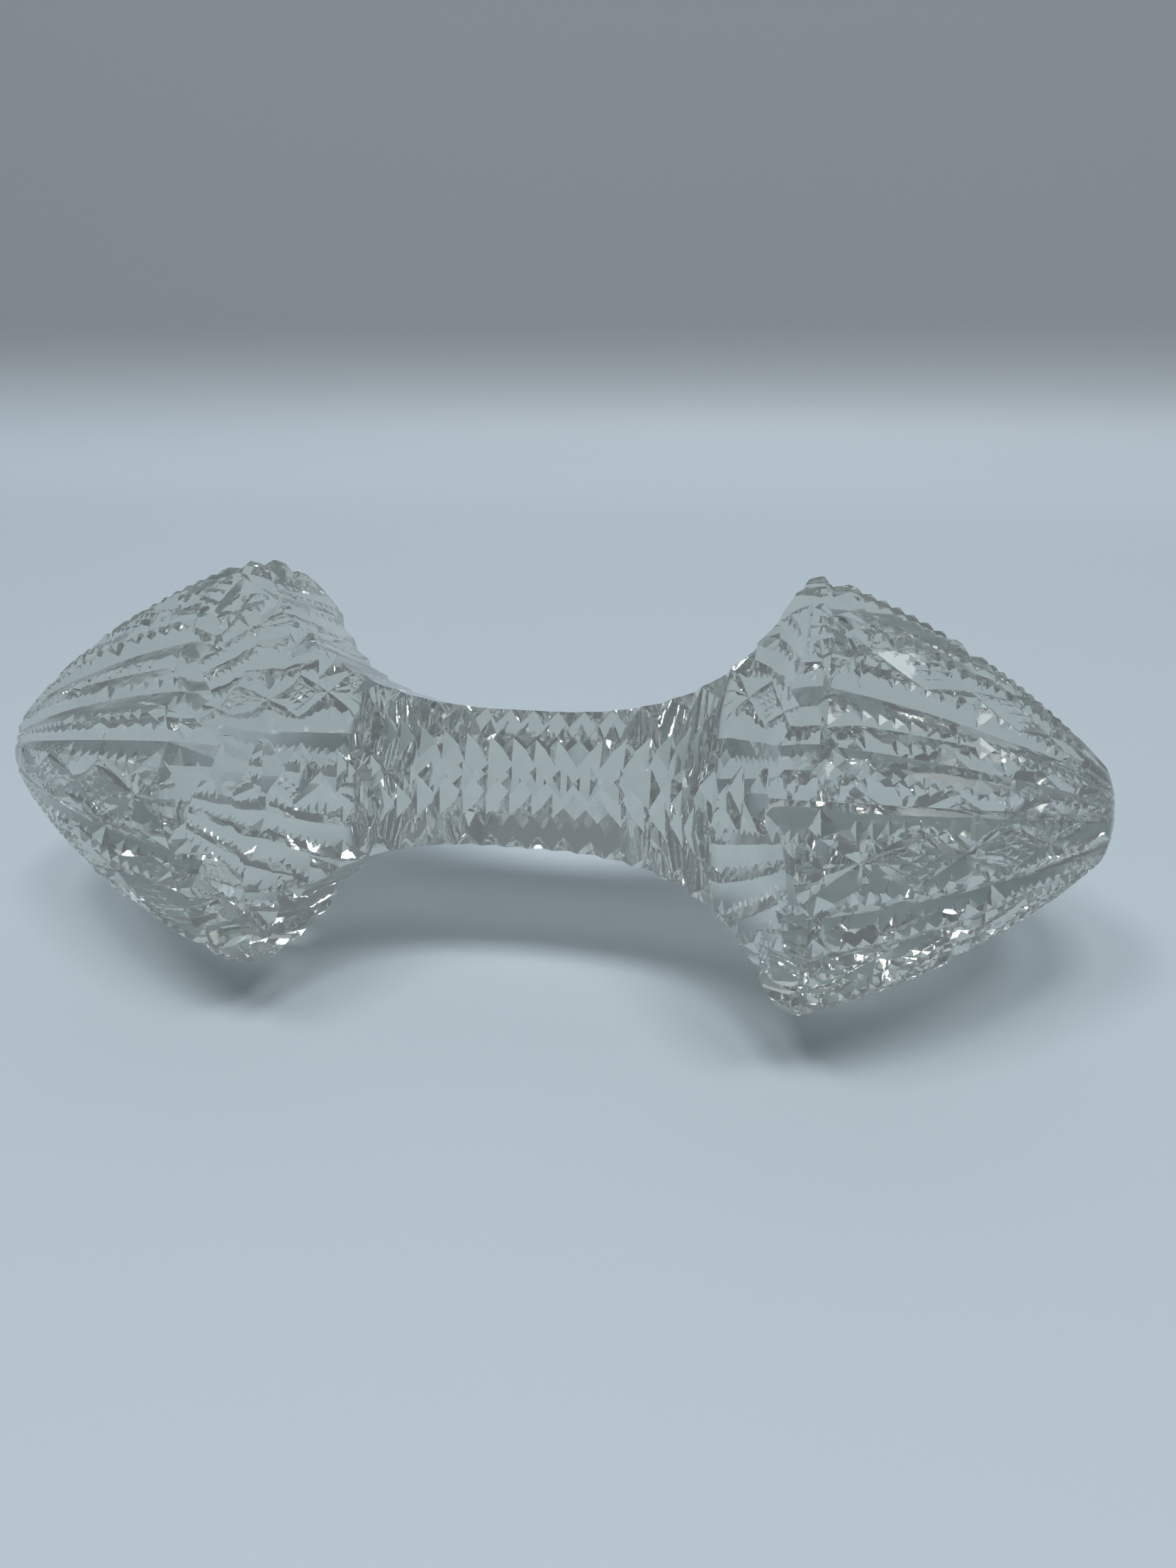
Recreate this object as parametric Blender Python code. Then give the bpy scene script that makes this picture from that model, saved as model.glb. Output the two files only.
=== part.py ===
"""A cut lead-crystal dumbbell: two pointed heads on a six-sided grip, one piece of solid glass.

The long axis runs along +X, level, with its middle over the origin. The heads rest on z = 0.
A place on the glass is given by s, the distance from the nearer tip along the axis, and by the
turn from the grip ridge below it. The same sixth of the pattern repeats six times round the axis.
"""

import math

import bpy
import numpy as np

# Driving dimensions, in metres
LENGTH = 0.190
HALF = LENGTH / 2

NOSE_ARC = 0.114  # radius of the ogive's side
NOSE_ARC_MIDDLE = 0.083  # where the ogive would be widest, from the tip
GIRDLE_AT = 0.0465  # widest crest of a head, from the tip
GIRDLE_RADIUS = 0.0359
HEEL_LENGTH = 0.0135  # past the girdle the radius falls by the distance squared over this
HEEL_END = 0.0534  # the furthest that the flats leave any of this, from the tip
TIP_DOME = 0.0009  # the tip is rounded off over this length

SIDES = 6
GRIP_APOTHEM = 0.01158  # from the axis to a flat, at mid length
GRIP_STRAIGHT = 0.0043  # the flats are level this far each way from the middle
FLARE_GAIN = 0.00161  # the flats then rise to the heads as a hyperbolic cosine
FLARE_LENGTH = 0.012

NOTCH_PITCH = 0.0039  # along a grip ridge, at mid length
NOTCH_PITCH_GROWTH = 0.00013  # for each notch away from the middle, squared
NOTCHES_EACH_WAY = 9

GROOVE_SHARE = 0.075  # depth of a head's long mitres, as a share of the radius there
STAR_SHARE = 0.05  # depth of a star's middle
STARS_AT = (0.0115, 0.0226, 0.039)  # star middles, from the tip
RIDGE_NOTCH_AT = 0.0452  # the one large notch across each prism ridge, from the tip
RIDGE_NOTCH_SHARE = 0.05  # its depth
RIDGE_NOTCH_ENDS = (0.0429, 0.0476)  # where it runs out on the crest

COLUMNS_PER_SIDE = 8
COLUMNS = SIDES * COLUMNS_PER_SIDE
MITRE_COLUMNS = (0, 2, 4)  # both borders of the prism panel, and its middle
PRISM_COLUMNS = (1, 3)  # the two ridges between them
STAR_COLUMN = 6  # the middle of the star panel
FIRST_RIDGE = math.radians(30)  # of the grip ridge above the front, from level

# Rows of points between the stars, from the tip
PLAIN_ROWS = (0.0026, 0.0052, 0.0082, 0.0170, 0.0310)


def nose_radius(s):
    """Radius of a head's uncut ogive: an arc, with the tip and the girdle rounded off."""
    if s > GIRDLE_AT:
        return GIRDLE_RADIUS - (min(s, HEEL_END) - GIRDLE_AT) ** 2 / HEEL_LENGTH
    base = GIRDLE_RADIUS - math.sqrt(NOSE_ARC**2 - (NOSE_ARC_MIDDLE - GIRDLE_AT) ** 2)
    arc = base + math.sqrt(NOSE_ARC**2 - (NOSE_ARC_MIDDLE - s) ** 2)
    return arc * math.sqrt(min(1.0, (s + TIP_DOME / 2) / (2 * TIP_DOME)))


def flat_distance(x):
    """Distance from the axis to the middle of a grip flat."""
    along = max(abs(x) - GRIP_STRAIGHT, 0.0)
    return GRIP_APOTHEM + FLARE_GAIN * (math.cosh(along / FLARE_LENGTH) - 1)


def grip_radius(x, column):
    """Radius of the six-sided grip at a column, on its flats."""
    turn = (column % COLUMNS_PER_SIDE) * math.tau / COLUMNS
    return flat_distance(x) / math.cos(math.pi / SIDES - turn)


def girdle_place(column):
    """The s at which a flat runs out through the ogive, found by halving."""
    near, far = GIRDLE_AT - 0.004, HALF
    for _ in range(40):
        middle = (near + far) / 2
        if grip_radius(HALF - middle, column) > nose_radius(middle):
            near = middle
        else:
            far = middle
    return middle


def cut_share(s, column):
    """How much of the radius the cutting has taken away, on a head."""
    place = column % COLUMNS_PER_SIDE
    fade = min(1.0, s / STARS_AT[0])
    if place in MITRE_COLUMNS:
        return GROOVE_SHARE * fade
    if place == STAR_COLUMN and s in STARS_AT:
        return STAR_SHARE * fade
    if place in PRISM_COLUMNS and s == RIDGE_NOTCH_AT:
        return RIDGE_NOTCH_SHARE
    return 0.0


def head_row(s):
    """One ring of a head: (x from the middle, radius) for each column."""
    return [(HALF - s, nose_radius(s) * (1 - cut_share(s, j))) for j in range(COLUMNS)]


def girdle_row():
    """The scalloped ring where the head meets the flats."""
    ring = []
    for column in range(COLUMNS):
        s = girdle_place(column)
        radius = nose_radius(s) * (1 - cut_share(s, column))
        while grip_radius(HALF - s, column) > radius:
            s += 0.0001
        ring.append((HALF - s, radius))
    return ring


def ridge_arc_to_x(arc):
    """The x reached after running this far along a grip ridge from the middle."""
    x, run, step = 0.0, 0.0, 0.0001
    while run < arc:
        rise = grip_radius(x + step, 0) - grip_radius(x, 0)
        run += math.hypot(step, rise)
        x += step
    return x


def notch_row(x, is_valley):
    """One ring of the grip: the ridges are sharp at a crest and cut down at a valley."""
    ring = []
    for column in range(COLUMNS):
        radius = grip_radius(x, column)
        if is_valley and column % COLUMNS_PER_SIDE == 0:
            radius = grip_radius(x, 1) * math.cos(math.tau / COLUMNS)
        ring.append((x, radius))
    return ring


def half_rings():
    """Rings from the middle of the grip to the tip on the +X side."""
    rings = [notch_row(0.0, True)]
    for step in range(1, 2 * NOTCHES_EACH_WAY + 1):
        count = step / 2
        arc = NOTCH_PITCH * count + NOTCH_PITCH_GROWTH * count**2
        rings.append(notch_row(ridge_arc_to_x(arc), step % 2 == 0))
    rings.append(girdle_row())
    notch = (RIDGE_NOTCH_AT, *RIDGE_NOTCH_ENDS)
    places = sorted((*PLAIN_ROWS, *STARS_AT, *notch, TIP_DOME), reverse=True)
    rings.extend(head_row(s) for s in places)
    return rings


def ring_points(ring, side, height):
    """World points of a ring on the +X side (side 1) or its mirror image (side -1)."""
    points = []
    for column, (x, radius) in enumerate(ring):
        turn = FIRST_RIDGE + column * math.tau / COLUMNS
        points.append((side * x, -radius * math.cos(turn), height + radius * math.sin(turn)))
    return points


def outer_triangles(points, a, b, c, d):
    """Two triangles for the quad a-b-c-d, split along the diagonal that lies further out."""
    across = np.linalg.norm((points[a] + points[c])[1:])
    other = np.linalg.norm((points[b] + points[d])[1:])
    if across >= other:
        return [(a, b, c), (a, c, d)]
    return [(a, b, d), (b, c, d)]


def dumbbell_mesh(height):
    """Points and triangles of the whole glass, with its axis at this height."""
    half = half_rings()
    rings = [ring_points(ring, -1, height) for ring in half[:0:-1]]
    rings += [ring_points(ring, 1, height) for ring in half]
    tips = [(-HALF, 0.0, height), (HALF, 0.0, height)]
    points = np.array([point for ring in rings for point in ring] + tips)

    triangles = []
    for row in range(len(rings) - 1):
        for column in range(COLUMNS):
            after = (column + 1) % COLUMNS
            here, up = row * COLUMNS, (row + 1) * COLUMNS
            corners = (here + column, up + column, up + after, here + after)
            triangles += outer_triangles(points - [0, 0, height], *corners)
    first_tip, last_tip = len(points) - 2, len(points) - 1
    last = (len(rings) - 1) * COLUMNS
    for column in range(COLUMNS):
        after = (column + 1) % COLUMNS
        triangles.append((first_tip, column, after))
        triangles.append((last_tip, last + after, last + column))
    return points, triangles


def glass_material():
    material = bpy.data.materials.new("cut_glass")
    material.use_nodes = True
    shader = material.node_tree.nodes["Principled BSDF"]
    shader.inputs["Base Color"].default_value = (0.93, 0.96, 0.95, 1)
    shader.inputs["Roughness"].default_value = 0.02
    shader.inputs["Metallic"].default_value = 0.0
    shader.inputs["IOR"].default_value = 1.545
    shader.inputs["Transmission Weight"].default_value = 1.0
    return material


def make_dumbbell():
    points, _ = dumbbell_mesh(0.0)
    height = -points[:, 2].min()  # the lowest crests of both heads touch z = 0
    points, triangles = dumbbell_mesh(height)
    mesh = bpy.data.meshes.new("glass_dumbbell")
    mesh.from_pydata(points.tolist(), [], triangles)
    mesh.validate()
    mesh.materials.append(glass_material())
    dumbbell = bpy.data.objects.new("glass_dumbbell", mesh)
    bpy.context.collection.objects.link(dumbbell)
    return dumbbell


for old in list(bpy.data.objects):
    bpy.data.objects.remove(old, do_unlink=True)
make_dumbbell()
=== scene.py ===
import math

import bpy
import numpy as np
from mathutils import Matrix, Vector


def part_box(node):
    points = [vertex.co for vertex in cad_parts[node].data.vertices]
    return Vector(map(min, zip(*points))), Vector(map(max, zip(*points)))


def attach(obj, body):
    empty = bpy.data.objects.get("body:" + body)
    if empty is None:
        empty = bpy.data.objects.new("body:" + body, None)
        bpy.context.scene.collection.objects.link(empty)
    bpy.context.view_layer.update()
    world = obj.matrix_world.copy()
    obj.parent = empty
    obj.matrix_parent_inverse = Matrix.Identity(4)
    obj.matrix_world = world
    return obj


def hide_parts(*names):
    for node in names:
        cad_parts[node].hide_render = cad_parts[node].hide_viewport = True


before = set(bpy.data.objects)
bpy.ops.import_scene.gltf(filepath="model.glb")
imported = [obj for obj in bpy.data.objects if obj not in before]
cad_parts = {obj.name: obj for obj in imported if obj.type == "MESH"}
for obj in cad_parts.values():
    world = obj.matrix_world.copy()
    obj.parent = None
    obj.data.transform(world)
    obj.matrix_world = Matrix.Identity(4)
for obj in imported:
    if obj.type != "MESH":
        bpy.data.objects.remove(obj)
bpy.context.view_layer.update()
scene = bpy.context.scene

# The blank: a place on it is given by s, the distance from the nearer tip along the axis,
# and by the turn round the axis from level-front towards the top. Lengths in metres.
blank = {
    "halfLength": 0.095,
    "noseArc": 0.114,
    "noseArcMiddle": 0.083,
    "girdleAt": 0.0465,
    "girdleRadius": 0.0359,
    "heelFall": 0.0135,
    "heelEnd": 0.0534,
    "domeLength": 0.0022,
    "mitreShare": 0.075,
    "firstRidge": 30.0,
    "headTurn": {1: 1.2, -1: 6.0},
    "mitres": (0.0, 13.7, 29.2),
    "crests": (6.85, 21.4, 35.5, 54.0),
    "panelColumns": (38.6, 41.7, 44.75, 47.8, 50.9),
    "domeRows": 9,
    "noseStep": 0.00075,
    "heelStep": 0.0004,
    "heelRowsEnd": 0.0560,
    "hiddenRows": (0.065, 0.080),
    "apothem": 0.01158,
    "straight": 0.0043,
    "flareGain": 0.00161,
    "flareLength": 0.012,
    "apothemLimit": 0.046,
    "fluteStep": 0.0005,
    "fluteRows": 0.050,
    "fluteEnd": 0.11,
    "smoothBelow": 9,
}
sectors = np.arange(6) * 60.0


# Radius of the uncut blank: a circular arc up to the girdle, then the girdle radius less
# the square of the distance past it over a length, held from the heel's end on. The first
# part is multiplied by a quarter ellipse, which rounds the tip.
def noseRadius(s):
    b = blank
    s = np.asarray(s, float)
    lift = b["girdleRadius"] - math.sqrt(b["noseArc"] ** 2 - (b["noseArcMiddle"] - b["girdleAt"]) ** 2)
    arc = lift + np.sqrt(b["noseArc"] ** 2 - (b["noseArcMiddle"] - s) ** 2)
    past = np.clip(s, b["girdleAt"], b["heelEnd"]) - b["girdleAt"]
    heel = b["girdleRadius"] - past**2 / b["heelFall"]
    dome = np.sqrt(1 - (1 - np.clip(s / b["domeLength"], 0, 1)) ** 2)
    return np.where(s < b["girdleAt"], arc, heel) * dome


# Distance from the axis to a flat: constant, then rising as a hyperbolic cosine.
def flatDistance(x):
    b = blank
    along = np.maximum(np.abs(x) - b["straight"], 0)
    flare = b["flareGain"] * (np.cosh(along / b["flareLength"]) - 1)
    return np.minimum(b["apothem"] + flare, b["apothemLimit"])


# A slope as the difference over two tenths of a millimetre.
def slopeOf(function, place):
    return (function(place + 1e-4) - function(place - 1e-4)) / 2e-4


# Points from x, a radius and a turn in degrees.
def around(x, radius, turn):
    a = np.radians(turn)
    x, radius, a = np.broadcast_arrays(x, radius, a)
    return np.stack([x, -radius * np.cos(a), radius * np.sin(a)], axis=-1)


# Faces of a tube of rings: quads between rings, and a fan from a middle point at each end.
def tubeFaces(rows, columns):
    index = np.arange(rows * columns).reshape(rows, columns)
    after = np.roll(index, -1, axis=1)
    quads = np.stack([index[:-1], after[:-1], after[1:], index[1:]], axis=-1).reshape(-1, 4)
    first = np.full(columns, rows * columns)
    caps = [np.stack([first, after[0], index[0]], -1), np.stack([first + 1, index[-1], after[-1]], -1)]
    return quads.tolist() + np.concatenate(caps).tolist()


# A mesh from points and faces, as an object at the origin.
def solidObject(name, points, faces):
    mesh = bpy.data.meshes.new(name)
    mesh.from_pydata(points.tolist(), [], faces)
    obj = bpy.data.objects.new(name, mesh)
    scene.collection.objects.link(obj)
    return obj


# The blank with its long mitres: each column keeps to one turn, at the blank's radius on a
# crest and less by one share of it in a mitre.
def blankBody():
    b = blank
    dome = b["domeLength"] * (1 - np.cos(np.linspace(0, math.pi / 2, b["domeRows"])[1:]))
    nose = np.arange(b["domeLength"], b["girdleAt"], b["noseStep"])[1:]
    heel = np.arange(b["girdleAt"], b["heelRowsEnd"], b["heelStep"])
    s = np.concatenate([dome, nose, heel, b["hiddenRows"]])
    local = np.sort(np.concatenate([b["mitres"], b["crests"], b["panelColumns"]]))
    share = np.where(np.isin(local, b["mitres"]), b["mitreShare"], 0.0)
    rings = []
    for side, order in ((-1, 1), (1, -1)):
        turn = (b["firstRidge"] + b["headTurn"][side] + sectors[:, None] + local).ravel()
        radius = noseRadius(s)[:, None] * (1 - np.tile(share, 6))
        rings.append(around(side * (b["halfLength"] - s)[:, None], radius, turn)[::order])
    points = np.concatenate(rings)
    rows, columns = points.shape[:2]
    ends = np.array([[-b["halfLength"], 0, 0], [b["halfLength"], 0, 0]])
    return solidObject("glass", np.concatenate([points.reshape(-1, 3), ends]), tubeFaces(rows, columns))


# The six flutes: a hexagon whose distance across follows flatDistance along the axis.
def flutePrism():
    step, rows, end = blank["fluteStep"], blank["fluteRows"], blank["fluteEnd"]
    x = np.concatenate([[-end, -rows - step], np.arange(-rows, rows + step / 5, step), [rows + step, end]])
    radius = flatDistance(x) / math.cos(math.pi / 6)
    points = around(x[:, None], radius[:, None], blank["firstRidge"] + sectors)
    ends = np.array([[x[0], 0, 0], [x[-1], 0, 0]])
    return solidObject("flutes", np.concatenate([points.reshape(-1, 3), ends]), tubeFaces(len(x), 6))


# The wheel: a V carried along each path. Its edge lies at the path less the depth along the
# normal, and its two shoulders at a rise above the path, to either side by the tangent of
# the half angle times their height above the edge.
def wheelCuts(points, normals, depths, halfAngle, rise):
    normals = np.broadcast_to(normals, points.shape)
    depths = np.broadcast_to(depths, points.shape[:2])[..., None]
    along = np.gradient(points, axis=1)
    across = np.cross(along, normals)
    across /= np.linalg.norm(across, axis=-1, keepdims=True)
    reach = (depths + rise) * math.tan(math.radians(halfAngle))
    edge = points - depths * normals
    shoulders = [points + rise * normals + way * reach * across for way in (1, -1)]
    corners = np.stack([edge, *shoulders], axis=2)
    cuts, samples = corners.shape[:2]
    index = np.arange(cuts * samples * 3).reshape(cuts, samples, 3)
    after = np.roll(index, -1, axis=2)
    quads = np.stack([index[:, :-1], index[:, 1:], after[:, 1:], after[:, :-1]], -1).reshape(-1, 4)
    ends = np.concatenate([index[:, 0], index[:, -1, ::-1]])
    return corners.reshape(-1, 3), quads, ends


# Place and outward normal on the blank: the normal is the radial direction less the slope
# of the radius along s.
def onHead(side, s, turn):
    radius, slope = noseRadius(s), slopeOf(noseRadius, s)
    point = around(side * (blank["halfLength"] - s), radius, turn)
    normal = around(side * slope, np.ones_like(radius), turn)
    return point, normal / np.linalg.norm(normal, axis=-1, keepdims=True)


# Place and outward normal on a grip ridge, in the same way from the slope along x.
def onRidge(x, turn):
    corner = lambda v: flatDistance(v) / math.cos(math.pi / 6)
    point = around(x, corner(x), turn)
    normal = around(-slopeOf(corner, x), np.ones_like(x), turn)
    return point, normal / np.linalg.norm(normal, axis=-1, keepdims=True)


# A straight path across a place, along the level direction round the axis turned by a lean.
def crossPath(point, normal, turn, halfLength, lean=0.0):
    a = np.radians(turn)
    level = np.stack([np.zeros_like(a), np.sin(a), np.cos(a)], axis=-1)
    c, s = np.cos(np.radians(lean))[..., None], np.sin(np.radians(lean))[..., None]
    direction, normal = c * level - s * normal, c * normal + s * level
    way = np.array([-1.0, 1.0])[:, None] * np.asarray(halfLength)[..., None, None]
    return point[..., None, :] + way * direction[..., None, :], np.repeat(normal[..., None, :], 2, axis=-2)


groups = {}


# Cuts that touch each other go to different groups, so that each group is free of overlaps.
def addCuts(group, cuts):
    groups.setdefault(group, []).append(cuts)


# One mesh from all the cuts of a group, the later ones' corner numbers moved on.
def groupObject(name):
    points, faces, start = [], [], 0
    for corners, quads, ends in groups[name]:
        points.append(corners)
        faces += (quads + start).tolist() + (ends + start).tolist()
        start += len(corners)
    return solidObject(name, np.concatenate(points), faces)


ridge = {
    "pitch": 0.0039,
    "growth": 0.00013,
    "eachWay": 9,
    "halfAngle": 55.5,
    "reach": 0.001,
    "reachShare": 1.75,
    "rise": 0.0008,
    "lengthSamples": 2000,
    "lengthEnd": 0.048,
}


# Notches along the grip ridges: valley number k lies at pitch k plus growth k squared
# along the ridge, which is turned into x through the ridge's own length.
def cutRidges():
    r = ridge
    fine = np.linspace(0, r["lengthEnd"], r["lengthSamples"])
    corner = flatDistance(fine) / math.cos(math.pi / 6)
    run = np.concatenate([[0], np.cumsum(np.hypot(np.diff(fine), np.diff(corner)))])
    number = np.arange(-r["eachWay"], r["eachWay"] + 1)
    for k in number:
        at = r["pitch"] * abs(k) + r["growth"] * k * k
        here = r["pitch"] + 2 * r["growth"] * abs(k)
        x = np.sign(k) * np.interp(at, run, fine) * np.ones(6)
        turn = blank["firstRidge"] + sectors
        point, normal = onRidge(x, turn)
        depth = here / 2 / math.tan(math.radians(r["halfAngle"]))
        path, normals = crossPath(point, normal, turn, np.full(6, depth * r["reachShare"] + r["reach"]))
        addCuts("even" if k % 2 == 0 else "odd", wheelCuts(path, normals, depth, r["halfAngle"], r["rise"]))


crest = {
    "toothHalfAngle": 63.0,
    "runs": ((0.0418, 0.0258, 0.0022), (0.0212, 0.0062, 0.00155)),
    "bigAt": (0.0452, 0.0233),
    "bigDepth": (0.0013, 0.0010),
    "bigHalfAngle": (61.0, 63.0),
    "lean": (0.0, 0.0, -15.0, 15.0),
    "reach": 0.0004,
    "bigReach": 0.0034,
    "widest": 0.11,
    "rise": 0.0003,
    "bigRise": 0.0006,
}


# Teeth along the crests, as touching V notches whose depth is half the pitch over the
# tangent of the half angle, and the two large notches on each crest.
def cutCrests():
    c = crest
    for side in (-1, 1):
        for local, lean in zip(blank["crests"], c["lean"]):
            turn = blank["firstRidge"] + blank["headTurn"][side] + sectors + local
            for start, end, pitch in c["runs"]:
                count = round((start - end) / pitch)
                for k in range(count):
                    s = np.full(6, start - (k + 0.5) * (start - end) / count)
                    point, normal = onHead(side, s, turn)
                    depth = (start - end) / count / 2 / math.tan(math.radians(c["toothHalfAngle"]))
                    half = np.minimum(2 * depth + c["reach"], c["widest"] * noseRadius(s))
                    path, normals = crossPath(point, normal, turn, half, np.full(6, lean))
                    cuts = wheelCuts(path, normals, depth, c["toothHalfAngle"], c["rise"])
                    addCuts("even" if k % 2 == 0 else "odd", cuts)
            for at, depth, angle in zip(c["bigAt"], c["bigDepth"], c["bigHalfAngle"]):
                point, normal = onHead(side, np.full(6, at), turn)
                half = np.full(6, min(c["bigReach"], c["widest"] * float(noseRadius(at))))
                path, normals = crossPath(point, normal, turn, half, np.full(6, lean))
                addCuts("big", wheelCuts(path, normals, depth, angle, c["bigRise"]))


star = {
    "at": (0.039, 0.0226, 0.0115),
    "corners": (0.0475, 0.0315, 0.0170, 0.0070),
    "left": 35.5,
    "right": 54.0,
    "middle": 44.75,
    "depth": (0.0015, 0.0013, 0.0008),
    "halfAngle": 61.0,
    "hatchAngle": 60.0,
    "crossSpan": (0.12, 0.88),
    "crossPower": 0.5,
    "bladeSpan": (0.05, 0.95),
    "bladePower": 0.7,
    "levelReach": 7,
    "longReach": 0.8,
    "longInner": 0.6,
    "longShare": 0.8,
    "steps": 9,
    "rise": 0.0005,
    "hatchLines": (4, 3),
    "hatchOverlap": 1.15,
    "hatchSteps": 5,
    "hatchRise": 0.0002,
}


# A path on the blank between two places, straight in s and turn, in steps.
def headPath(side, start, end, steps):
    u = np.linspace(0, 1, steps)
    s = start[0] + (end[0] - start[0]) * u
    turn = start[1] + (end[1] - start[1]) * u
    base = blank["firstRidge"] + blank["headTurn"][side] + sectors[:, None]
    return onHead(side, np.broadcast_to(s, (6, steps)), base + turn)


# Depth along a mitre: the sine over a span of half a turn, to a power.
def lensDepth(depth, span, power):
    return depth * np.sin(np.linspace(*span, star["steps"]) * math.pi) ** power


# The stars: two crossing mitres from corner to corner of the panel, one level mitre and one
# along the panel, then fine hatching in the diamonds between them.
def cutStars():
    t = star
    for side in (-1, 1):
        for k, at in enumerate(t["at"]):
            outer, inner, depth = t["corners"][k], t["corners"][k + 1], t["depth"][k]
            lens = lensDepth(depth, t["crossSpan"], t["crossPower"])
            for group, a, b in (("crossOne", t["left"], t["right"]), ("crossTwo", t["right"], t["left"])):
                path = headPath(side, (outer, a), (inner, b), t["steps"])
                addCuts(group, wheelCuts(*path, lens, t["halfAngle"], t["rise"]))
            lens = lensDepth(depth, t["bladeSpan"], t["bladePower"])
            start, end = (at, t["middle"] - t["levelReach"]), (at, t["middle"] + t["levelReach"])
            path = headPath(side, start, end, t["steps"])
            addCuts("level", wheelCuts(*path, lens, t["halfAngle"], t["rise"]))
            reach = min(at - inner, outer - at) * t["longReach"]
            start, end = (at + reach, t["middle"]), (at - reach * t["longInner"], t["middle"])
            path = headPath(side, start, end, t["steps"])
            addCuts("long", wheelCuts(*path, lens * t["longShare"], t["halfAngle"], t["rise"]))
        for k, lines in enumerate(t["hatchLines"]):
            cutHatching(side, t["at"][k], t["corners"][k + 1], t["at"][k + 1], lines)


# Hatching in a diamond with points at two stars and two panel corners: lines between equal
# shares of opposite sides.
def cutHatching(side, near, middle, far, lines):
    t = star
    share = np.arange(1, lines + 1) / (lines + 1)
    for way, (a, b) in enumerate(((t["left"], t["right"]), (t["right"], t["left"]))):
        for k, u in enumerate(share):
            start = (near + (middle - near) * u, t["middle"] + (a - t["middle"]) * u)
            end = (middle + (far - middle) * u, b + (t["middle"] - b) * u)
            pitch = (near - middle) / (lines + 1) * t["hatchOverlap"]
            path = headPath(side, start, end, t["hatchSteps"])
            depth = pitch / 2 / math.tan(math.radians(t["hatchAngle"]))
            addCuts(f"hatch{way}{k % 2}", wheelCuts(*path, depth, t["hatchAngle"], t["hatchRise"]))


fan = {
    "spread": (-5.0, 0.0, 5.0),
    "spreadAtStart": 0.15,
    "startDepth": 0.2,
    "from": 0.0405,
    "to": 0.0488,
    "depth": 0.0006,
    "halfAngle": 45.0,
    "rise": 0.0004,
    "steps": 7,
}


# The fan: narrow rays from the first star towards the girdle, deeper as they go.
def cutFan():
    f = fan
    lens = f["depth"] * np.linspace(f["startDepth"], 1, f["steps"])
    for side in (-1, 1):
        for k, spread in enumerate(f["spread"]):
            start = (f["from"], star["middle"] + spread * f["spreadAtStart"])
            end = (f["to"], star["middle"] + spread)
            path = headPath(side, start, end, f["steps"])
            addCuts(f"fan{k % 2}", wheelCuts(*path, lens, f["halfAngle"], f["rise"]))


# The cuts are taken from the blank one group after another, and the result becomes one mesh.
def cutGlass():
    body = blankBody()
    print("blank:", len(body.data.vertices), "points")
    cutRidges()
    cutCrests()
    cutStars()
    cutFan()
    print("wheel cuts:", len(groups), "groups")
    tools = [("INTERSECT", flutePrism())] + [("DIFFERENCE", groupObject(name)) for name in groups]
    for operation, tool in tools:
        modifier = body.modifiers.new(tool.name, "BOOLEAN")
        modifier.operation, modifier.object, modifier.solver = operation, tool, "MANIFOLD"
    cut = bpy.data.meshes.new_from_object(body.evaluated_get(bpy.context.evaluated_depsgraph_get()))
    body.modifiers.clear()
    body.data = cut
    for _, tool in tools:
        bpy.data.objects.remove(tool)
    places = np.empty(len(cut.vertices) * 3, np.float32)
    cut.vertices.foreach_get("co", places)
    places = places.reshape(-1, 3)
    places[:, 2] -= places[:, 2].min()
    cut.vertices.foreach_set("co", places.ravel())
    cut.shade_smooth()
    cut.set_sharp_from_angle(angle=math.radians(blank["smoothBelow"]))
    print("cut glass:", len(cut.vertices), "points,", len(cut.polygons), "faces")
    return body


finish = {
    "tint": (0.775, 0.795, 0.75, 1),
    "smoky": (0.72, 0.745, 0.705, 1),
    "cloudScale": 38.0,
    "roughness": (0.015, 0.055),
    "rubScale": 210.0,
    "rubRange": (0.35, 0.75),
    "ior": 1.545,
    "polishScale": 420.0,
    "polishStrength": 0.10,
    "polishDepth": 0.00012,
}


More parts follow.
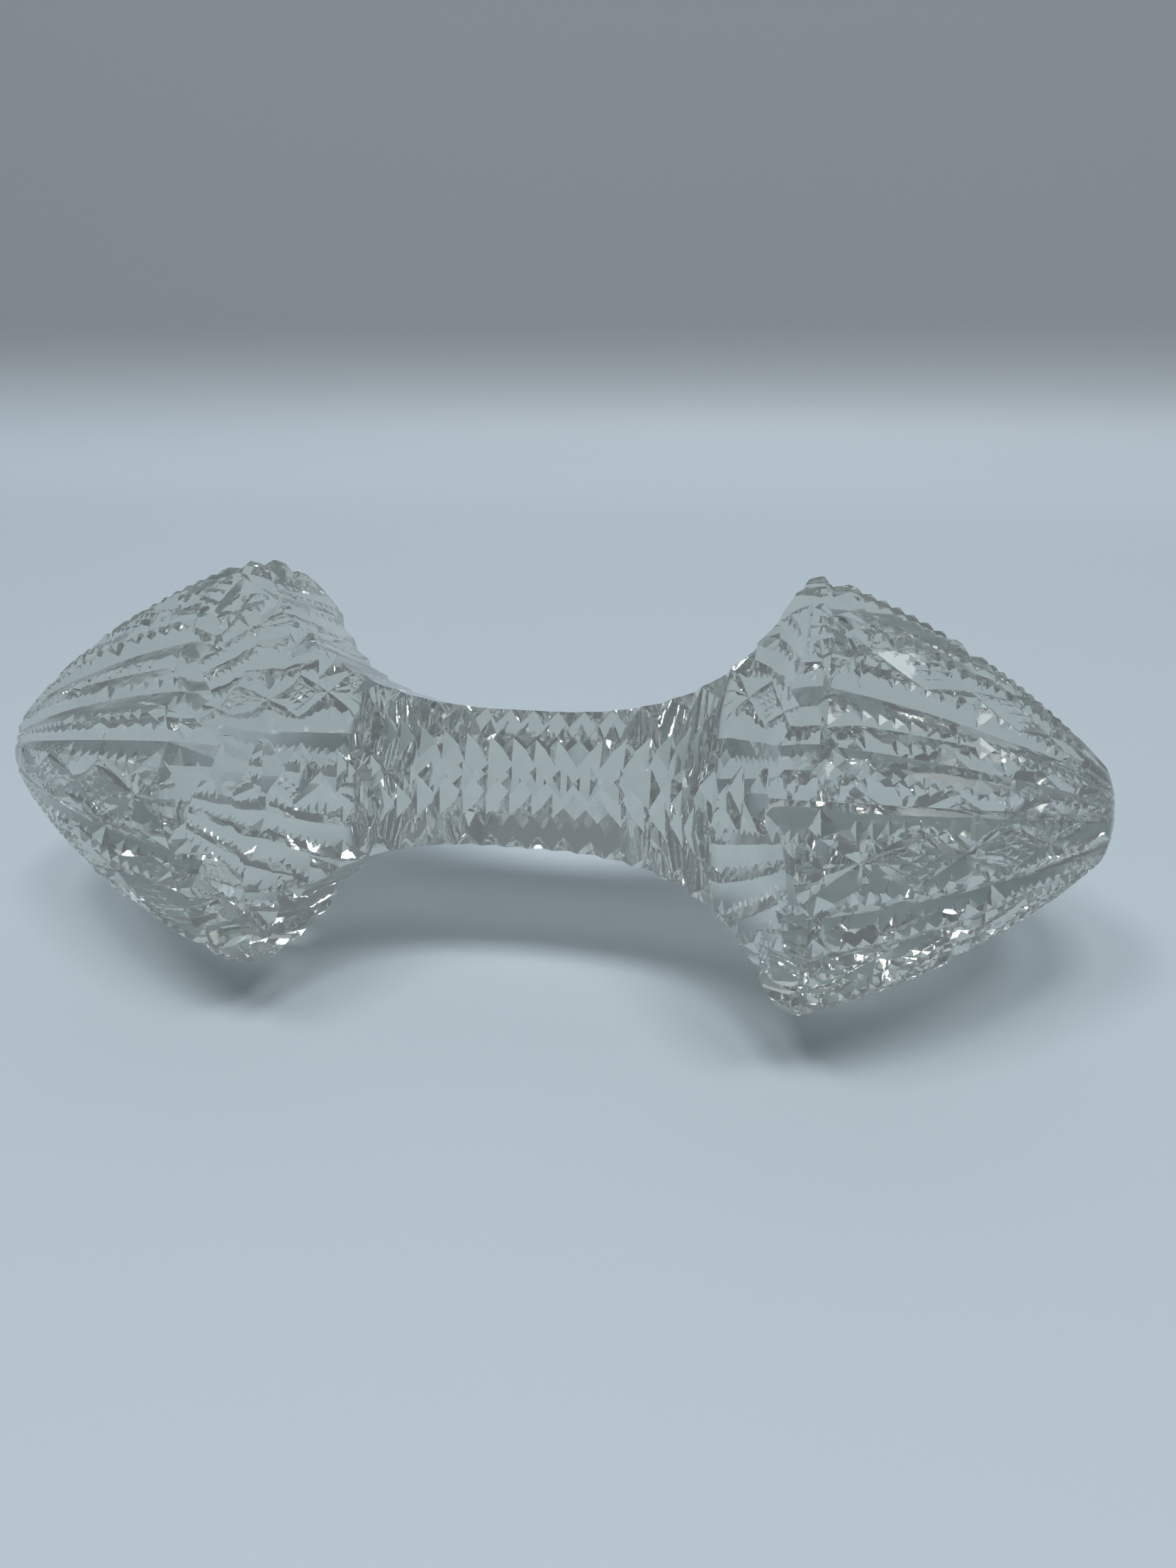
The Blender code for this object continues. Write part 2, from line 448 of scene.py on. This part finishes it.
# Polished lead glass: a slow noise shifts the tint towards smoky, a finer one sets how
# rubbed the polish is, and a third one gives the faint ripple of the polishing wheel.
def glassMaterial():
    f = finish
    material = bpy.data.materials.new("cutGlass")
    material.use_nodes = True
    nodes, links = material.node_tree.nodes, material.node_tree.links
    shader = nodes["Principled BSDF"]
    shader.inputs["IOR"].default_value = f["ior"]
    shader.inputs["Transmission Weight"].default_value = 1.0
    place = nodes.new("ShaderNodeTexCoord")
    cloud, rub, polish = [nodes.new("ShaderNodeTexNoise") for _ in range(3)]
    for noise, scale in ((cloud, f["cloudScale"]), (rub, f["rubScale"]), (polish, f["polishScale"])):
        noise.inputs["Scale"].default_value, noise.inputs["Detail"].default_value = scale, 3.0
        links.new(place.outputs["Object"], noise.inputs["Vector"])
    mix = nodes.new("ShaderNodeMix")
    mix.data_type = "RGBA"
    mix.inputs["A"].default_value, mix.inputs["B"].default_value = f["tint"], f["smoky"]
    links.new(cloud.outputs["Fac"], mix.inputs["Factor"])
    links.new(mix.outputs["Result"], shader.inputs["Base Color"])
    spread = nodes.new("ShaderNodeMapRange")
    spread.inputs["From Min"].default_value, spread.inputs["From Max"].default_value = f["rubRange"]
    spread.inputs["To Min"].default_value, spread.inputs["To Max"].default_value = f["roughness"]
    links.new(rub.outputs["Fac"], spread.inputs["Value"])
    links.new(spread.outputs["Result"], shader.inputs["Roughness"])
    bump = nodes.new("ShaderNodeBump")
    bump.inputs["Strength"].default_value = f["polishStrength"]
    bump.inputs["Distance"].default_value = f["polishDepth"]
    links.new(polish.outputs["Fac"], bump.inputs["Height"])
    links.new(bump.outputs["Normal"], shader.inputs["Normal"])
    return material


glass = cutGlass()
glass.data.materials.clear()
glass.data.materials.append(glassMaterial())
print("glass finish set")
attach(glass, "root")
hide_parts("glass_dumbbell")
axisHeight = (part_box("glass_dumbbell")[0].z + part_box("glass_dumbbell")[1].z) / 2

room = {
    "sheet": (0.59, 0.67, 0.725, 1),
    # The upright part's colour is painted shade: darker than the level run, standing in for the lesser light
    # that reaches the backdrop.
    "paintedShadeWallColour": (0.41, 0.43, 0.445, 1),
    "fade": (0.002, 0.055),
    "sheetRoughness": 0.5,
    "front": -0.70,
    "bend": 0.24,
    "bendRadius": 0.055,
    "wall": 0.9,
    "width": 0.80,
}


# The sheet: a level run, a quarter circle and an upright run, carried across the width.
def sheetAndBackdrop():
    r = room
    a = np.linspace(0, math.pi / 2, 24)
    y = np.concatenate([[r["front"]], r["bend"] + r["bendRadius"] * np.sin(a), [r["bend"] + r["bendRadius"]]])
    z = np.concatenate([[0], r["bendRadius"] * (1 - np.cos(a)), [r["wall"]]])
    x = np.array([-r["width"], r["width"]])
    points = np.stack(np.broadcast_arrays(x[None, :], y[:, None], z[:, None]), axis=-1)
    index = np.arange(points.size // 3).reshape(-1, 2)
    faces = np.stack([index[:-1, 0], index[:-1, 1], index[1:, 1], index[1:, 0]], axis=-1)
    sheet = solidObject("sheet", points.reshape(-1, 3), faces.tolist())
    sheet.data.shade_smooth()
    material = bpy.data.materials.new("sheet")
    material.use_nodes = True
    nodes, links = material.node_tree.nodes, material.node_tree.links
    shader = nodes["Principled BSDF"]
    shader.inputs["Roughness"].default_value = r["sheetRoughness"]
    place = nodes.new("ShaderNodeTexCoord")
    split = nodes.new("ShaderNodeSeparateXYZ")
    fade = nodes.new("ShaderNodeMapRange")
    mix = nodes.new("ShaderNodeMix")
    fade.interpolation_type, mix.data_type = "SMOOTHSTEP", "RGBA"
    # The colour turns with height, through a smoothstep, from the sheet's colour to a darker one on the
    # upright part: painted shade for the lesser light there.
    fade.inputs["From Min"].default_value, fade.inputs["From Max"].default_value = r["fade"]
    mix.inputs["A"].default_value, mix.inputs["B"].default_value = r["sheet"], r["paintedShadeWallColour"]
    links.new(place.outputs["Object"], split.inputs["Vector"])
    links.new(split.outputs["Z"], fade.inputs["Value"])
    links.new(fade.outputs["Result"], mix.inputs["Factor"])
    links.new(mix.outputs["Result"], shader.inputs["Base Color"])
    sheet.data.materials.append(material)


sheetAndBackdrop()
print("sheet and backdrop set")

camera = {
    "lens": 27.05,
    "elevation": 32.5,
    "away": (0.04604, 0.19874, -0.0001),
    "right": (0.98237, -0.17567, 0.06388),
    "down": (0.06288, -0.01124, -0.99796),
}


# The camera's place and directions are given along X, towards the viewer and upwards
# across the line of sight; the last two are turned about X by the elevation.
def makeCamera():
    tilt = math.radians(camera["elevation"])
    towards = Vector((0, -math.cos(tilt), math.sin(tilt)))
    across = Vector((0, math.sin(tilt), math.cos(tilt)))
    spread = lambda v: Vector((v[0], 0, 0)) + towards * v[1] + across * v[2]
    right, up = spread(camera["right"]), -spread(camera["down"])
    place = Matrix((right, up, right.cross(up))).transposed().to_4x4()
    place.translation = Vector((0, 0, axisHeight)) + spread(camera["away"])
    data = bpy.data.cameras.new("camera")
    data.lens, data.sensor_width, data.clip_start, data.clip_end = camera["lens"], 36.0, 0.01, 20.0
    obj = bpy.data.objects.new("camera", data)
    obj.matrix_world = place
    scene.collection.objects.link(obj)
    scene.camera = obj


makeCamera()
print("camera set")

lamps = {
    "left": {"size": (0.36, 0.28), "at": (-0.50, -0.40, 1.50), "power": 5.0, "colour": (0.97, 0.99, 1.0)},
    "middle": {"size": (0.36, 0.28), "at": (0.02, -0.42, 1.55), "power": 6.7, "colour": (0.97, 0.99, 1.0)},
    "right": {"size": (0.36, 0.28), "at": (0.55, -0.40, 1.50), "power": 5.0, "colour": (0.97, 0.99, 1.0)},
}
world = {"colour": (0.55, 0.60, 0.66), "strength": 0.31}


# Three overhead area lamps aimed at the origin, a dim even world, and the path limits that
# cut glass needs.
def makeLights():
    for name, lamp in lamps.items():
        data = bpy.data.lights.new(name, "AREA")
        data.shape = "RECTANGLE"
        data.size, data.size_y = lamp["size"]
        data.energy, data.color = lamp["power"], lamp["colour"]
        obj = bpy.data.objects.new(name, data)
        obj.location = lamp["at"]
        obj.rotation_euler = (-Vector(lamp["at"])).to_track_quat("-Z", "Y").to_euler()
        scene.collection.objects.link(obj)
    scene.world = bpy.data.worlds.new("room")
    scene.world.use_nodes = True
    background = scene.world.node_tree.nodes["Background"]
    background.inputs["Color"].default_value = (*world["colour"], 1)
    background.inputs["Strength"].default_value = world["strength"]
    scene.view_settings.view_transform = "Standard"
    scene.cycles.max_bounces = 32
    scene.cycles.transmission_bounces = 32
    scene.cycles.glossy_bounces = 16
    scene.cycles.sample_clamp_indirect = 2.5
    scene.cycles.sample_clamp_direct = 4.0


makeLights()
print("lights set")
